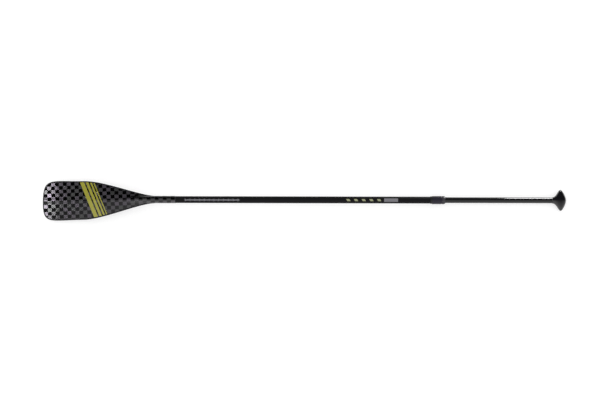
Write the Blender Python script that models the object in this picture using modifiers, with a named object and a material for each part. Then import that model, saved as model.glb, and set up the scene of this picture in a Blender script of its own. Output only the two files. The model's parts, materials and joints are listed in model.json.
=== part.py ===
"""Adjustable stand-up paddle: a canted carbon blade, a telescoping shaft with a twist lock, and a palm grip.

It lies on the ground with its power face up, resting on the blade's tip and the grip. Sizes are in metres.
The pieces are modelled along the shaft's line: X from the blade's tip towards the grip, Y across the blade and
Z out of the power face. An empty called shaft_line then tilts that line until both ends touch the ground.
"""

import math
from collections import namedtuple

import bmesh
import bpy
from mathutils import Vector

# Fits between pieces
GLUE_GAP = 0.0003
SPLIT_HALF_GAP = 0.00015
SPLIT_LAND = 0.0005
SAME_PLACE = 0.000002
SEAM_REACH = 0.00001
ROUND_STEPS = 32
QUARTER_STEPS = ROUND_STEPS // 4
LAYING_STEPS = 4

# Lengths along the shaft, from the blade's tip
TOTAL_LENGTH = 2.200
BLADE_LENGTH = 0.480
NECK_LENGTH = 0.081
NUT_AT = 1.636
LENGTH_ADJUSTMENT = 0.400

# Blade
BLADE_SIDE_HALF_WIDTH = 0.0815
BLADE_SIDE_AT = 0.176
BLADE_TIP_FULLNESS = 0.104
BLADE_SHOULDER_PULL = 0.145
BLADE_HIP_PULL = 0.086
BLADE_THROAT_PULL = 0.067
BLADE_CANT = math.radians(10)
CANT_BEND_LENGTH = 0.160
TIP_KICK = math.radians(3.5)
TIP_KICK_LENGTH = 0.070
TIP_KICK_BEND = 0.020
FAN_CENTRE = 0.060
SKIN_THICKNESS = 0.0008
EDGE_HALF_THICKNESS = 0.0020
RIDGE_HEIGHT = 0.0068
RIDGE_REACH = 0.200
RIDGE_SHARPNESS = 1.25
POWER_FAIRING_LENGTH = 0.175
BACK_SPINE_LENGTH = 0.335
FILLET_SIZE = 0.010
FILLET_START = 0.060
SOCKET_SIDE_SLOPE = 3
RAIL_WIDTH = 0.0050
RAIL_SETBACK = 0.043
CORE_SETBACK = 0.060
SLOT_OVERRUN = 0.006
SLOT_HALF_HEIGHT = 0.012
TIP_RUNGS = 9
SIDE_RUNGS = 16
RAIL_STEPS = 4

# Lower shaft and its neck socket
LOWER_RADIUS = 0.0143
LOWER_WALL = 0.0018
SHAFT_PLUG_LENGTH = 0.080

# Upper shaft
SLIDE_CLEARANCE = 0.0003
UPPER_WALL = 0.0015
UPPER_OVERLAP = 0.106
GROOVE_WIDTH = 0.0050
GROOVE_DEPTH = 0.0008
END_PLUG_STEM = 0.020
END_PLUG_HEAD = 0.008
SEAL_WIDTH = 0.0018
SEAL_DEPTH = 0.0012

# Twist lock, along the shaft from the nut's rear edge
NUT_WALL = 0.0012
NUT_BODY_LENGTH = 0.0376
NUT_GROOVE_WIDTH = 0.0038
NUT_GROOVE_DEPTH = 0.0009
NUT_CHAMFER = 0.0006
FERRULE_LIP = 0.008
FERRULE_WALL = 0.0010
FERRULE_REACH = 0.032
SHAFT_REACH = 0.016
COLLET_SHOULDER = 0.0006
COLLET_CONE_LENGTH = 0.0122
COLLET_TIP_WALL = 0.0008
COLLET_SLOT_WIDTH = 0.0012
COLLET_SLOT_AT = 0.024
KEY_SETBACK = 0.0015
KEY_LENGTH = 0.012
THRUST_RING_LENGTH = 0.0095
NUT_WEB = 0.0015
WIPER_WIDTH = 0.0022
CAP_WALL = 0.0006
CAP_END_WALL = 0.0039
CAP_CHAMFER_LENGTH = 0.0054
CAP_CHAMFER_DEPTH = 0.0021
BORE_RELIEF = 0.0004

# Palm grip, with lengths back from its crown
GRIP_LENGTH = 0.059
GRIP_HALF_WIDTH = 0.0446
GRIP_HALF_THICKNESS = 0.0170
GRIP_LOBE_AT = 0.0225
GRIP_CROWN_PULL = 0.016
GRIP_LOBE_PULL = 0.006
GRIP_WAIST_PULL = 0.012
GRIP_NECK_PULL = 0.020
GRIP_ROUNDNESS = 2.3
GRIP_COLLAR = 0.0010
GRIP_SHELL = 0.0025
GRIP_CORE_SETBACK = 0.018
STUB_INSERTION = 0.045
STUB_END = 0.026
CROWN_RUNGS = 7
WAIST_RUNGS = 9

# Sizes that follow
NECK_RADIUS = LOWER_RADIUS + GLUE_GAP + SKIN_THICKNESS
NECK_END = BLADE_LENGTH + NECK_LENGTH
RAIL_END = BLADE_LENGTH - RAIL_SETBACK
CORE_END = BLADE_LENGTH - CORE_SETBACK
LOWER_BORE = LOWER_RADIUS - LOWER_WALL
LOWER_START = BLADE_LENGTH
LOWER_END = NUT_AT + SHAFT_REACH
UPPER_RADIUS = LOWER_BORE - SLIDE_CLEARANCE
UPPER_BORE = UPPER_RADIUS - UPPER_WALL
UPPER_START = LOWER_END - UPPER_OVERLAP
UPPER_END = TOTAL_LENGTH - GRIP_LENGTH
STUB_RADIUS = UPPER_BORE - GLUE_GAP
GRIP_NECK_RADIUS = UPPER_RADIUS + GRIP_COLLAR
FERRULE_BORE = LOWER_RADIUS + GLUE_GAP
FERRULE_RADIUS = FERRULE_BORE + FERRULE_WALL
FERRULE_END = NUT_AT + FERRULE_REACH
THREAD_BORE = FERRULE_RADIUS + GLUE_GAP
NUT_RADIUS = THREAD_BORE + NUT_WALL
COLLET_BASE_RADIUS = FERRULE_BORE - GLUE_GAP
COLLET_START = LOWER_END + GLUE_GAP
CONE_START = FERRULE_END + GLUE_GAP
CONE_END = CONE_START + COLLET_SHOULDER + COLLET_CONE_LENGTH
CONE_RADIUS = COLLET_BASE_RADIUS + COLLET_SHOULDER
CONE_TIP_RADIUS = LOWER_BORE + COLLET_TIP_WALL
RING_RADIUS = CONE_RADIUS + GLUE_GAP
RING_END = CONE_END + GLUE_GAP
NUT_POCKET = RING_RADIUS + GLUE_GAP
NUT_WEB_AT = RING_END + GLUE_GAP
NUT_END = NUT_WEB_AT + NUT_WEB
NUT_NOSE_RADIUS = NUT_RADIUS - NUT_GROOVE_DEPTH
NUT_MOUTH = LOWER_BORE + BORE_RELIEF
CAP_START = NUT_AT + NUT_BODY_LENGTH + NUT_GROOVE_WIDTH
CAP_BORE = NUT_NOSE_RADIUS + GLUE_GAP
WIPER_START = NUT_END + GLUE_GAP
WIPER_END = WIPER_START + WIPER_WIDTH
CAP_FLOOR = WIPER_END + GLUE_GAP
CAP_END = CAP_FLOOR + CAP_END_WALL
KEY_START = COLLET_START + KEY_SETBACK
KEY_END = KEY_START + KEY_LENGTH

POWER_SIDE = 1
BACK_SIDE = -1


# Scene, materials and objects


def clear_scene():
    for thing in list(bpy.data.objects):
        bpy.data.objects.remove(thing, do_unlink=True)


def new_collection(name):
    collection = bpy.data.collections.new(name)
    bpy.context.scene.collection.children.link(collection)
    return collection


clear_scene()
PADDLE = new_collection("stand_up_paddle")
CUTTERS = new_collection("cutters")
SHAFT_LINE = bpy.data.objects.new("shaft_line", None)
PADDLE.objects.link(SHAFT_LINE)


def principled(name, color, roughness, metallic=0.0):
    material = bpy.data.materials.new(name)
    material.use_nodes = True
    shader = material.node_tree.nodes["Principled BSDF"]
    shader.inputs["Base Color"].default_value = (*color, 1.0)
    shader.inputs["Roughness"].default_value = roughness
    shader.inputs["Metallic"].default_value = metallic
    material.diffuse_color = (*color, 1.0)
    return material


def add_piece(name, mesh, material):
    """A named piece on the shaft's line."""
    piece = bpy.data.objects.new(name, mesh)
    piece.parent = SHAFT_LINE
    PADDLE.objects.link(piece)
    mesh.materials.append(material)
    return piece


def add_cutter(name, mesh):
    cutter = bpy.data.objects.new(name, mesh)
    cutter.parent = SHAFT_LINE
    cutter.hide_render = True
    cutter.display_type = "WIRE"
    CUTTERS.objects.link(cutter)
    return cutter


def smooth(mesh, sharp_degrees=35):
    mesh.shade_smooth()
    mesh.set_sharp_from_angle(angle=math.radians(sharp_degrees))


def cut(piece, cutter):
    boolean = piece.modifiers.new(f"Cut {cutter.name}", "BOOLEAN")
    boolean.operation = "DIFFERENCE"
    boolean.solver = "EXACT"
    boolean.object = cutter


# Turned pieces


def turn_modifier(piece):
    screw = piece.modifiers.new("Turn", "SCREW")
    screw.axis = "Z"
    screw.steps = ROUND_STEPS
    screw.render_steps = ROUND_STEPS
    screw.use_merge_vertices = True
    screw.merge_threshold = SEAM_REACH
    screw.use_smooth_shade = True


def lay_along_shaft(piece, at):
    """The turned profile's axis is its own Z, which comes to lie along the shaft."""
    piece.rotation_euler = (0, math.radians(90), 0)
    piece.location = (at, 0, 0)


def profile_mesh(name, outline, at):
    """outline holds (station, radius) corners: down the outer side from the grip end, then back up the bore."""
    corners = [(radius, 0, station - at) for station, radius in outline]
    edges = [(i, i + 1) for i in range(len(corners) - 1)]
    if min(radius for station, radius in outline) > 0:
        edges.append((len(corners) - 1, 0))
    mesh = bpy.data.meshes.new(name)
    mesh.from_pydata(corners, edges, [])
    return mesh


def turned(name, outline, material):
    at = min(station for station, radius in outline)
    piece = add_piece(name, profile_mesh(name, outline, at), material)
    lay_along_shaft(piece, at)
    turn_modifier(piece)
    return piece


def turned_cutter(name, outline):
    at = min(station for station, radius in outline)
    cutter = add_cutter(name, profile_mesh(name, outline, at))
    lay_along_shaft(cutter, at)
    turn_modifier(cutter)
    return cutter


def tube(start, end, radius, bore):
    return [(end, radius), (start, radius), (start, bore), (end, bore)]


def rod(start, end, radius):
    return [(end, 0), (end, radius), (start, radius), (start, 0)]


def box_mesh(name, low, high):
    mesh = bpy.data.meshes.new(name)
    shape = bmesh.new()
    bmesh.ops.create_cube(shape, size=1)
    size = Vector(high) - Vector(low)
    centre = (Vector(high) + Vector(low)) / 2
    bmesh.ops.scale(shape, verts=shape.verts, vec=size)
    bmesh.ops.translate(shape, verts=shape.verts, vec=centre)
    shape.to_mesh(mesh)
    shape.free()
    return mesh


# Curves and blends


def bezier(start, start_pull, end_pull, end, share):
    """A point of the cubic curve between two points, each with its handle."""
    rest = 1 - share
    return (
        rest**3 * start
        + 3 * rest**2 * share * start_pull
        + 3 * rest * share**2 * end_pull
        + share**3 * end
    )


def ease(value):
    """0 to 1 with level ends."""
    held = min(max(value, 0.0), 1.0)
    return held * held * (3 - 2 * held)


def blended_max(first, second, fillet):
    """The larger of two heights, with a fillet where they cross."""
    if fillet <= 0:
        return max(first, second)
    nearness = max(fillet - abs(first - second), 0) / fillet
    return max(first, second) + nearness**2 * fillet / 4


# Lofts: a half surface is a row of rungs, each from the middle line to the rim


def quarter_shares():
    """Shares along a rung that give even steps round a quarter circle."""
    return [math.sin(math.pi / 2 * step / QUARTER_STEPS) for step in range(QUARTER_STEPS + 1)]


def add_face(shape, corners, flipped):
    """Adds a face, with a corner that comes twice taken once."""
    distinct = list(dict.fromkeys(corners))
    if flipped:
        distinct.reverse()
    if len(distinct) > 2:
        shape.faces.new(distinct)


Form = namedtuple("Form", "place middle")


def runs_down(rungs):
    """Whether the rungs run towards the blade's end of the shaft."""
    return rungs[-1][1].x < rungs[0][1].x


def half_surface(shape, rungs, form, side, margin=0.0):
    """Adds one side's open half surface and returns its rows of vertices.

    It stops short of the rim by the margin, or with none it runs on down to the parting line.
    """
    known = {}
    rows = []
    for centre, rim in rungs:
        reach = 1 - margin / (rim - centre).length
        points = [form.place(side, centre, rim, min(share, reach)) for share in quarter_shares()]
        if margin == 0:
            parting = form.middle(rim.x) + side * SPLIT_HALF_GAP
            points.append(Vector((rim.x, rim.y, parting)))
        for point in points:
            point.freeze()
            if point not in known:
                known[point] = shape.verts.new(point)
        rows.append([known[point] for point in points])
    flipped = (side == BACK_SIDE) != runs_down(rungs)
    for near, far in zip(rows, rows[1:]):
        for k in range(len(near) - 1):
            add_face(shape, [near[k], far[k], far[k + 1], near[k + 1]], flipped)
    return rows


def mirror_across(piece):
    mirror = piece.modifiers.new("Mirror", "MIRROR")
    mirror.use_axis = (False, True, False)
    mirror.use_clip = True
    mirror.merge_threshold = SEAM_REACH


def finish_mesh(name, shape):
    bmesh.ops.remove_doubles(shape, verts=shape.verts, dist=SAME_PLACE)
    mesh = bpy.data.meshes.new(name)
    shape.to_mesh(mesh)
    shape.free()
    smooth(mesh)
    return mesh


def lofted_shell(name, rungs, form, side, thickness, material):
    """One half of a clamshell: an open surface, mirrored and thickened inwards."""
    shape = bmesh.new()
    half_surface(shape, rungs, form, side)
    piece = add_piece(name, finish_mesh(name, shape), material)
    mirror_across(piece)
    wall = piece.modifiers.new("Wall", "SOLIDIFY")
    wall.thickness = thickness
    wall.offset = -1
    wall.use_even_offset = True
    return piece


def even_inset(vertex, inset):
    """How far a vertex moves so that all its faces move in by the inset, staying on the middle line if on it."""
    if abs(vertex.co.y) > SAME_PLACE:
        return vertex.normal * inset * vertex.calc_shell_factor()
    along = Vector((vertex.normal.x, 0, vertex.normal.z))
    return along * inset / along.length_squared


def sink_inwards(shape, inset):
    """Moves every face of an open surface in by the inset."""
    shape.normal_update()
    moves = [(vertex, even_inset(vertex, inset)) for vertex in shape.verts]
    for vertex, move in moves:
        vertex.co -= move


def lofted_core(name, rungs, form, inset, margin, material):
    """The solid between both halves of a clamshell, with an upright side short of the rim."""
    shape = bmesh.new()
    front = half_surface(shape, rungs, form, POWER_SIDE, margin)
    back = half_surface(shape, rungs, form, BACK_SIDE, margin)
    sink_inwards(shape, inset)
    over = [row[-1] for row in front] + list(reversed(front[-1][:-1]))
    under = [row[-1] for row in back] + list(reversed(back[-1][:-1]))
    for i in range(len(over) - 1):
        add_face(shape, [over[i], over[i + 1], under[i + 1], under[i]], runs_down(rungs))
    piece = add_piece(name, finish_mesh(name, shape), material)
    mirror_across(piece)
    return piece


# Blade


def blade_rim(share):
    """The blade's outline: shares 0 to 1 run round the tip's corner, 1 to 2 up the side to the neck."""
    hip = Vector((BLADE_SIDE_AT, BLADE_SIDE_HALF_WIDTH))
    if share <= 1:
        tip = Vector((0, 0))
        tip_pull = Vector((0, BLADE_TIP_FULLNESS))
        shoulder_pull = hip - Vector((BLADE_SHOULDER_PULL, 0))
        return bezier(tip, tip_pull, shoulder_pull, hip, share)
    neck = Vector((BLADE_LENGTH, NECK_RADIUS))
    hip_pull = hip + Vector((BLADE_HIP_PULL, 0))
    throat_pull = neck - Vector((BLADE_THROAT_PULL, 0))
    return bezier(hip, hip_pull, throat_pull, neck, share - 1)


def rim_shares(end_steps, side_steps):
    """Even shares round the end of an outline and then along its side."""
    shares = [step / end_steps for step in range(end_steps)]
    shares += [1 + step / side_steps for step in range(side_steps + 1)]
    return shares


def blade_rungs(end=BLADE_LENGTH):
    """Rungs fan out from one point at the tip and then lie square to the middle line, up to the end."""
    rungs = []
    for share in rim_shares(TIP_RUNGS, SIDE_RUNGS):
        rim = blade_rim(share)
        if rim.x <= end:
            rungs.append((Vector((max(rim.x, FAN_CENTRE), 0)), rim))
    return rungs


def bend_drop(run, bend_length, angle):
    """How far a surface has dropped at some run past the start of a bend that leads into a straight slope."""
    slope = math.tan(angle)
    if run < bend_length:
        return slope * max(run, 0) ** 2 / (2 * bend_length)
    return slope * (run - bend_length / 2)


def middle_height(x):
    """The blade's middle surface bends away from the shaft's line below the neck, and a little more at the tip."""
    cant_drop = bend_drop(BLADE_LENGTH - x, CANT_BEND_LENGTH, BLADE_CANT)
    return -cant_drop - bend_drop(TIP_KICK_LENGTH - x, TIP_KICK_BEND, TIP_KICK)


def panel_height(side, centre, rim, share):
    """Half thickness of the blade's panel: a ridge on the power face, flat on the back, round at the edge."""
    width = (rim - centre).length
    inner_share = 1 - RAIL_WIDTH / width
    from_edge = min((1 - share) * width / RAIL_WIDTH, 1)
    rounding = math.sqrt(1 - (1 - from_edge) ** 2)
    ridge = 0
    if side == POWER_SIDE:
        grown = min(centre.x / RIDGE_REACH, 1)
        ridge = (RIDGE_HEIGHT - EDGE_HALF_THICKNESS) * grown
    fall = min(share / inner_share, 1) ** RIDGE_SHARPNESS
    return (EDGE_HALF_THICKNESS + ridge * (1 - fall)) * rounding


def socket_height(side, x, y):
    """The round neck socket, which sinks into the blade further down."""
    below_neck = BLADE_LENGTH - x
    length = POWER_FAIRING_LENGTH if side == POWER_SIDE else BACK_SPINE_LENGTH
    sink = NECK_RADIUS * ease(below_neck / length)
    beside = max(abs(y) - NECK_RADIUS, 0)
    return math.sqrt(max(NECK_RADIUS**2 - y**2, 0)) - sink - SOCKET_SIDE_SLOPE * beside


def blade_point(side, centre, rim, share):
    flat = centre.lerp(rim, share)
    panel = panel_height(side, centre, rim, share)
    socket = socket_height(side, flat.x, flat.y)
    fillet = FILLET_SIZE * ease((BLADE_LENGTH - flat.x) / FILLET_START)
    height = max(blended_max(panel, socket, fillet), SPLIT_LAND)
    return Vector((flat.x, flat.y, middle_height(flat.x) + side * height))


BLADE = Form(blade_point, middle_height)


def neck_rungs():
    """The blade's rungs and one more at the end of the neck socket."""
    rungs = blade_rungs()
    rungs.append((Vector((NECK_END, 0)), Vector((NECK_END, NECK_RADIUS))))
    return rungs


def rail_section(centre, rim):
    """The rail's D-shaped section, from its inner face over the power side to the edge and back below."""
    width = (rim - centre).length
    turns = [math.pi / 2 * step / RAIL_STEPS for step in range(RAIL_STEPS + 1)]
    insets = [RAIL_WIDTH * (1 - math.sin(turn)) for turn in turns]
    over = [(POWER_SIDE, 1 - inset / width) for inset in insets]
    under = [(BACK_SIDE, 1 - inset / width) for inset in reversed(insets[:-1])]
    points = []
    for side, share in over + under:
        flat = centre.lerp(rim, share)
        height = panel_height(side, centre, rim, share)
        points.append(Vector((flat.x, flat.y, middle_height(flat.x) + side * height)))
    return points


def slot_section(centre, rim, shift):
    """The section that the rail's seat takes out of the skins and the core."""
    width = (rim - centre).length
    inner = centre.lerp(rim, 1 - (RAIL_WIDTH + GLUE_GAP) / width)
    outer = centre.lerp(rim, 1 + SLOT_OVERRUN / width)
    points = []
    for flat, side in ((inner, 1), (outer, 1), (outer, -1), (inner, -1)):
        middle = middle_height(flat.x)
        points.append(Vector((flat.x + shift, flat.y, middle + side * SLOT_HALF_HEIGHT)))
    return points


def swept_band(name, sections):
    """A half band through like sections, open where the mirror joins it and closed at its far end."""
    shape = bmesh.new()
    rows = [[shape.verts.new(point) for point in section] for section in sections]
    count = len(rows[0])
    for near, far in zip(rows, rows[1:]):
        for k in range(count):
            following = (k + 1) % count
            shape.faces.new([near[k], far[k], far[following], near[following]])
    shape.faces.new(reversed(rows[-1]))
    return finish_mesh(name, shape)


def blade_skin(name, side, rail_slot, material):
    skin = lofted_shell(name, neck_rungs(), BLADE, side, SKIN_THICKNESS, material)
    cut(skin, rail_slot)
    return skin


def rail_seat():
    rungs = blade_rungs(RAIL_END)
    sections = [slot_section(centre, rim, 0) for centre, rim in rungs]
    sections.append(slot_section(*rungs[-1], GLUE_GAP))
    cutter = add_cutter("rail_seat", swept_band("rail_seat", sections))
    mirror_across(cutter)
    return cutter


def build_blade():
    carbon = principled("blade_carbon", (0.030, 0.030, 0.032), 0.25)
    back_carbon = principled("back_carbon", (0.026, 0.026, 0.028), 0.30)
    foam = principled("core_foam", (0.62, 0.60, 0.52), 0.85)
    edge = principled("edge_rail_black", (0.012, 0.012, 0.014), 0.40)
    seat = rail_seat()
    blade_skin("blade_power_skin", POWER_SIDE, seat, carbon)
    blade_skin("blade_back_skin", BACK_SIDE, seat, back_carbon)
    inset = SKIN_THICKNESS + GLUE_GAP
    margin = RAIL_WIDTH + 2 * GLUE_GAP
    lofted_core("blade_core", blade_rungs(CORE_END), BLADE, inset, margin, foam)
    sections = [rail_section(centre, rim) for centre, rim in blade_rungs(RAIL_END)]
    rail = add_piece("blade_edge_rail", swept_band("blade_edge_rail", sections), edge)
    mirror_across(rail)


# Lower shaft


def build_lower_shaft():
    carbon = principled("lower_shaft_carbon", (0.022, 0.022, 0.024), 0.30)
    foam = principled("plug_foam", (0.70, 0.68, 0.60), 0.90)
    turned("lower_shaft", tube(LOWER_START, LOWER_END, LOWER_RADIUS, LOWER_BORE), carbon)
    plug_radius = LOWER_BORE - GLUE_GAP
    turned("shaft_plug", rod(LOWER_START, LOWER_START + SHAFT_PLUG_LENGTH, plug_radius), foam)


# Twist lock


def build_ferrule():
    black = principled("ferrule_black", (0.016, 0.016, 0.018), 0.45)
    start = NUT_AT - FERRULE_LIP
    turned("lock_ferrule", tube(start, FERRULE_END, FERRULE_RADIUS, FERRULE_BORE), black)


def collet_slots():
    """Two crossed blades that part the collet's cone into four fingers."""
    reach = NUT_RADIUS
    half = COLLET_SLOT_WIDTH / 2
    cutters = []
    for number, degrees in enumerate((45, 135)):
        low = (NUT_AT + COLLET_SLOT_AT, -half, -reach)
        high = (CONE_END + GLUE_GAP, half, reach)
        cutter = add_cutter(f"collet_slot_{number + 1}", box_mesh("collet_slot", low, high))
        cutter.rotation_euler = (math.radians(degrees), 0, 0)
        cutters.append(cutter)
    return cutters


def build_collet():
    acetal = principled("collet_acetal", (0.55, 0.55, 0.53), 0.45)
    outline = [
        (CONE_END, CONE_TIP_RADIUS),
        (CONE_START + COLLET_SHOULDER, CONE_RADIUS),
        (CONE_START, CONE_RADIUS),
        (CONE_START, COLLET_BASE_RADIUS),
        (COLLET_START, COLLET_BASE_RADIUS),
        (COLLET_START, LOWER_BORE),
        (CONE_END, LOWER_BORE),
    ]
    collet = turned("split_collet", outline, acetal)
    for slot in collet_slots():
        cut(collet, slot)
    low = (KEY_START - GLUE_GAP, -GROOVE_WIDTH / 2, -FERRULE_RADIUS)
    high = (KEY_END + GLUE_GAP, GROOVE_WIDTH / 2, -UPPER_BORE)
    cut(collet, add_cutter("key_slot", box_mesh("key_slot", low, high)))


def build_key():
    steel = principled("key_steel", (0.60, 0.60, 0.62), 0.30, 1.0)
    half = GROOVE_WIDTH / 2 - GLUE_GAP
    groove_floor = UPPER_RADIUS - GROOVE_DEPTH
    outer = COLLET_BASE_RADIUS - half**2 / COLLET_BASE_RADIUS
    low = (KEY_START, -half, -outer)
    high = (KEY_END, half, -groove_floor - GLUE_GAP)
    add_piece("guide_key", box_mesh("guide_key", low, high), steel)


def build_thrust_ring():
    white = principled("thrust_ring_acetal", (0.72, 0.72, 0.70), 0.40)
    start = RING_END - THRUST_RING_LENGTH
    taper = (CONE_RADIUS - CONE_TIP_RADIUS) / COLLET_CONE_LENGTH
    clearance = GLUE_GAP * math.sqrt(1 + taper**2)
    tip_bore = CONE_TIP_RADIUS + clearance
    start_bore = tip_bore + taper * (CONE_END - start)
    outline = [
        (RING_END, RING_RADIUS),
        (start, RING_RADIUS),
        (start, start_bore),
        (CONE_END, tip_bore),
        (RING_END, tip_bore),
    ]
    turned("thrust_ring", outline, white)


def build_nut():
    black = principled("nut_black", (0.030, 0.028, 0.034), 0.35)
    body_end = NUT_AT + NUT_BODY_LENGTH
    outline = [
        (NUT_END, NUT_NOSE_RADIUS),
        (body_end, NUT_NOSE_RADIUS),
        (body_end, NUT_RADIUS - NUT_CHAMFER),
        (body_end - NUT_CHAMFER, NUT_RADIUS),
        (NUT_AT + NUT_CHAMFER, NUT_RADIUS),
        (NUT_AT, NUT_RADIUS - NUT_CHAMFER),
        (NUT_AT, THREAD_BORE),
        (FERRULE_END + GLUE_GAP, THREAD_BORE),
        (FERRULE_END + 2 * GLUE_GAP, NUT_POCKET),
        (NUT_WEB_AT, NUT_POCKET),
        (NUT_WEB_AT, NUT_MOUTH),
        (NUT_END, NUT_MOUTH),
    ]
    turned("twist_nut", outline, black)


def build_cap():
    black = principled("cap_black", (0.050, 0.048, 0.055), 0.30)
    outline = [
        (CAP_END, NUT_RADIUS - CAP_CHAMFER_DEPTH),
        (CAP_END - CAP_CHAMFER_LENGTH, NUT_RADIUS),
        (CAP_START + NUT_CHAMFER, NUT_RADIUS),
        (CAP_START, CAP_BORE + CAP_WALL / 2),
        (CAP_START, CAP_BORE),
        (CAP_FLOOR, CAP_BORE),
        (CAP_FLOOR, NUT_MOUTH),
        (CAP_END, NUT_MOUTH),
    ]
    turned("nut_cap", outline, black)


def build_wiper():
    rubber = principled("wiper_rubber", (0.020, 0.020, 0.020), 0.75)
    turned("wiper_seal", tube(WIPER_START, WIPER_END, NUT_NOSE_RADIUS, LOWER_BORE), rubber)


# Upper shaft


def build_upper_shaft():
    carbon = principled("upper_shaft_carbon", (0.020, 0.020, 0.022), 0.15)
    shaft = turned("upper_shaft", tube(UPPER_START, UPPER_END, UPPER_RADIUS, UPPER_BORE), carbon)
    low = (UPPER_START - GROOVE_WIDTH, -GROOVE_WIDTH / 2, -2 * UPPER_RADIUS)
    groove_end = KEY_END + LENGTH_ADJUSTMENT + GLUE_GAP
    high = (groove_end, GROOVE_WIDTH / 2, GROOVE_DEPTH - UPPER_RADIUS)
    cut(shaft, add_cutter("key_groove", box_mesh("key_groove", low, high)))


def build_end_plug():
    black = principled("plug_black", (0.020, 0.020, 0.022), 0.50)
    rubber = principled("seal_rubber", (0.015, 0.015, 0.015), 0.80)
    head_end = UPPER_START - GLUE_GAP
    head_start = head_end - END_PLUG_HEAD
    seal_start = (head_start + head_end - SEAL_WIDTH) / 2
    seal_end = seal_start + SEAL_WIDTH
    floor = UPPER_RADIUS - SEAL_DEPTH - GLUE_GAP
    outline = [
        (UPPER_START + END_PLUG_STEM, 0),
        (UPPER_START + END_PLUG_STEM, STUB_RADIUS),
        (head_end, STUB_RADIUS),
        (head_end, UPPER_RADIUS),
        (seal_end + GLUE_GAP, UPPER_RADIUS),
        (seal_end + GLUE_GAP, floor),
        (seal_start - GLUE_GAP, floor),
        (seal_start - GLUE_GAP, UPPER_RADIUS),
        (head_start, UPPER_RADIUS),
        (head_start, 0),
    ]
    turned("end_plug", outline, black)
    seal_bore = UPPER_RADIUS - SEAL_DEPTH
    turned("plug_seal", tube(seal_start, seal_end, UPPER_RADIUS, seal_bore), rubber)


# Palm grip


def grip_rim(share):
    """The grip's outline: shares 0 to 1 run over the crown to the lobe, 1 to 2 round it down to the neck."""
    lobe = Vector((TOTAL_LENGTH - GRIP_LOBE_AT, GRIP_HALF_WIDTH))
    if share <= 1:
        crown = Vector((TOTAL_LENGTH, 0))
        crown_pull = Vector((TOTAL_LENGTH, GRIP_CROWN_PULL))
        lobe_pull = lobe + Vector((GRIP_LOBE_PULL, 0))
        return bezier(crown, crown_pull, lobe_pull, lobe, share)
    neck = Vector((UPPER_END + GLUE_GAP, GRIP_NECK_RADIUS))
    waist_pull = lobe - Vector((GRIP_WAIST_PULL, 0))
    neck_pull = neck + Vector((GRIP_NECK_PULL, 0))
    return bezier(lobe, waist_pull, neck_pull, neck, share - 1)


def grip_rungs(start=UPPER_END):
    """Rungs fan out over the crown and then lie square to the middle line, down to the start."""
    fan = TOTAL_LENGTH - GRIP_LOBE_AT
    rungs = []
    for share in rim_shares(CROWN_RUNGS, WAIST_RUNGS):
        rim = grip_rim(share)
        if rim.x >= start:
            rungs.append((Vector((min(rim.x, fan), 0)), rim))
    return rungs


def grip_point(side, centre, rim, share):
    flat = centre.lerp(rim, share)
    swelling = ease((centre.x - UPPER_END) / (GRIP_LENGTH - GRIP_LOBE_AT))
    middle = GRIP_NECK_RADIUS + (GRIP_HALF_THICKNESS - GRIP_NECK_RADIUS) * swelling
    power = 2 + (GRIP_ROUNDNESS - 2) * swelling
    height = middle * max(1 - share**power, 0) ** (1 / power)
    return Vector((flat.x, flat.y, side * max(height, SPLIT_LAND)))


def shaft_line_height(x):
    return 0


GRIP = Form(grip_point, shaft_line_height)


def build_grip():
    front = principled("grip_front_black", (0.030, 0.030, 0.034), 0.20)
    back = principled("grip_back_black", (0.028, 0.028, 0.030), 0.30)
    foam = principled("grip_foam", (0.66, 0.64, 0.58), 0.90)
    stub = principled("stub_black", (0.025, 0.025, 0.025), 0.55)
    rungs = grip_rungs()
    lofted_shell("grip_front_shell", rungs, GRIP, POWER_SIDE, GRIP_SHELL, front)
    lofted_shell("grip_back_shell", rungs, GRIP, BACK_SIDE, GRIP_SHELL, back)
    stub_end = TOTAL_LENGTH - STUB_END
    turned("grip_stub", rod(UPPER_END - STUB_INSERTION, stub_end, STUB_RADIUS), stub)
    bore = rod(UPPER_END, stub_end + GLUE_GAP, STUB_RADIUS + GLUE_GAP)
    inset = GRIP_SHELL + 2 * GLUE_GAP
    margin = inset + GLUE_GAP
    core_rungs = grip_rungs(UPPER_END + GRIP_CORE_SETBACK)
    core = lofted_core("grip_core", core_rungs, GRIP, inset, margin, foam)
    cut(core, turned_cutter("stub_bore", bore))


# Laying the paddle down


def world_points(names):
    graph = bpy.context.evaluated_depsgraph_get()
    points = []
    for name in names:
        piece = bpy.data.objects[name].evaluated_get(graph)
        mesh = piece.to_mesh()
        points += [piece.matrix_world @ vertex.co for vertex in mesh.vertices]
        piece.to_mesh_clear()
    return points


def lay_down():
    """Tilts the shaft's line until the blade's tip and the grip touch the ground, centred on the origin."""
    for attempt in range(LAYING_STEPS):
        bpy.context.view_layer.update()
        blade_low = min(world_points(["blade_edge_rail"]), key=lambda point: point.z)
        grip_low = min(world_points(["grip_back_shell"]), key=lambda point: point.z)
        rise = math.atan2(grip_low.z - blade_low.z, grip_low.x - blade_low.x)
        SHAFT_LINE.rotation_euler.y += rise
    bpy.context.view_layer.update()
    points = world_points([piece.name for piece in PADDLE.objects if piece.type == "MESH"])
    middle = (max(point.x for point in points) + min(point.x for point in points)) / 2
    lowest = min(point.z for point in points)
    SHAFT_LINE.location = (-middle, 0, -lowest)


def build_paddle():
    build_blade()
    build_lower_shaft()
    build_ferrule()
    build_collet()
    build_key()
    build_thrust_ring()
    build_nut()
    build_cap()
    build_wiper()
    build_upper_shaft()
    build_end_plug()
    build_grip()
    lay_down()


build_paddle()
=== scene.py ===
"""The looks of an adjustable stand-up paddle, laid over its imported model.

The visible pieces are modelled along the shaft's line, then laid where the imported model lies. On that line X
runs from the blade's tip to the grip, Y across the blade and Z out of the power face. Sizes are in metres.
"""

import json
import math
from functools import partial

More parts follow.
